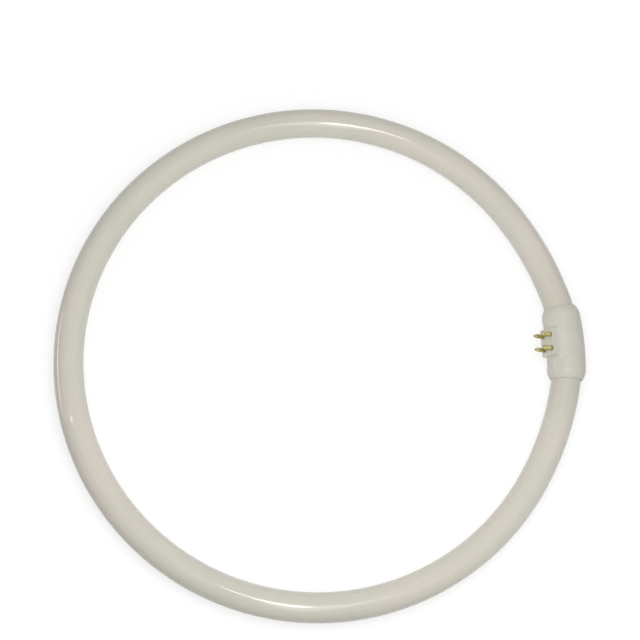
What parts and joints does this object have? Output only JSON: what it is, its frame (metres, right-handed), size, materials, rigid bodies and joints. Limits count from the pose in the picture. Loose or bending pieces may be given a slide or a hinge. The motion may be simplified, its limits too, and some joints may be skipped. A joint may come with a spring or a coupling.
{
  "type": "circular fluorescent tube",
  "caption": "White ring-shaped fluorescent lamp tube whose ends meet in a moulded cap with slanted brass contact pins facing the middle of the ring.",
  "frame": {"origin": "middle of the overall outline in X and Y, at the height of the lowest point of the cap", "axes": "+Z along the ring's axis, upwards as the lamp lies flat with its pins up; +X from the ring's middle to the cap"},
  "size_m": [0.305, 0.3, 0.0246],
  "materials": {
    "coated_glass": "clear glass over a white powder coat, glossy",
    "cap_plastic": "white moulded plastic, half gloss",
    "pin_brass": "drawn brass, solder-grey at the tips",
    "lead_metal": "tinned wire"
  },
  "bodies": {
    "root": {"glass_tube": "coated_glass", "cap_pin_half": "cap_plastic", "cap_cover_half": "cap_plastic", "contact_pin_1": "pin_brass", "contact_pin_2": "pin_brass", "contact_pin_3": "pin_brass", "contact_pin_4": "pin_brass", "lead_wire_1": "lead_metal", "lead_wire_2": "lead_metal", "lead_wire_3": "lead_metal", "lead_wire_4": "lead_metal"}
  },
  "joints": []
}
